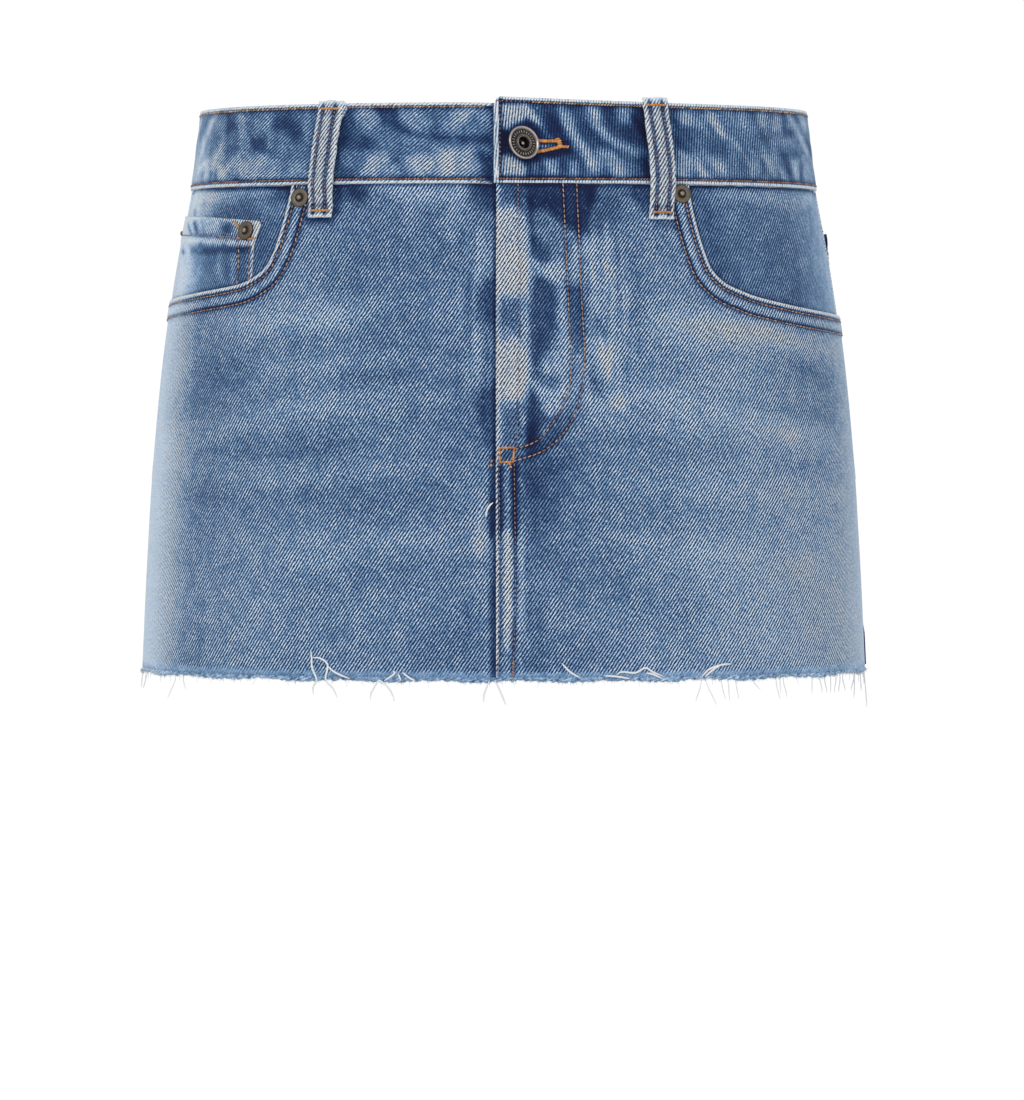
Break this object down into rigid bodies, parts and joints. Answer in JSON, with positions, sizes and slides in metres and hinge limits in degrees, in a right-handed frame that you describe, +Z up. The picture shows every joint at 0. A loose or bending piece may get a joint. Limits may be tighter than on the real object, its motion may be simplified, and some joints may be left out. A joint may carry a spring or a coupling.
{
  "type": "denim skirt",
  "caption": "Short low-rise denim skirt as worn, hollow, with a waistband, belt loops, scoop front pockets, a coin pocket, patch back pockets, a button fly and a frayed raw hem.",
  "frame": {"origin": "centre of the waist opening, at the middle of the waistband's height", "axes": "+Z up, the front faces -Y, +X towards the wearer's left"},
  "size_m": [0.3612, 0.2544, 0.3017],
  "materials": {
    "denim": "matte",
    "facing_denim": "matte",
    "waistband_denim": "matte",
    "loop_denim": "matte",
    "pewter": "antique",
    "antique_brass": "antique",
    "frayed_thread": "matte"
  },
  "bodies": {
    "root": {"front_panel_right": "denim", "front_panel_left": "denim", "pocket_facing_right": "facing_denim", "pocket_facing_left": "facing_denim", "coin_pocket": "facing_denim", "back_panel_right": "denim", "back_panel_left": "denim", "back_yoke_right": "denim", "back_yoke_left": "denim", "back_pocket_right": "denim", "back_pocket_left": "denim", "waistband": "waistband_denim", "belt_loop_front_right": "loop_denim", "belt_loop_front_left": "loop_denim", "belt_loop_back_right": "loop_denim", "belt_loop_back_left": "loop_denim", "belt_loop_centre_back": "loop_denim", "waist_button": "pewter", "rivet_pocket_right": "antique_brass", "rivet_pocket_left": "antique_brass", "rivet_coin_inner": "antique_brass", "rivet_coin_outer": "antique_brass", "hem_fray_front_right": "frayed_thread", "hem_fray_front_left": "frayed_thread", "hem_fray_back_right": "frayed_thread", "hem_fray_back_left": "frayed_thread"}
  },
  "joints": []
}
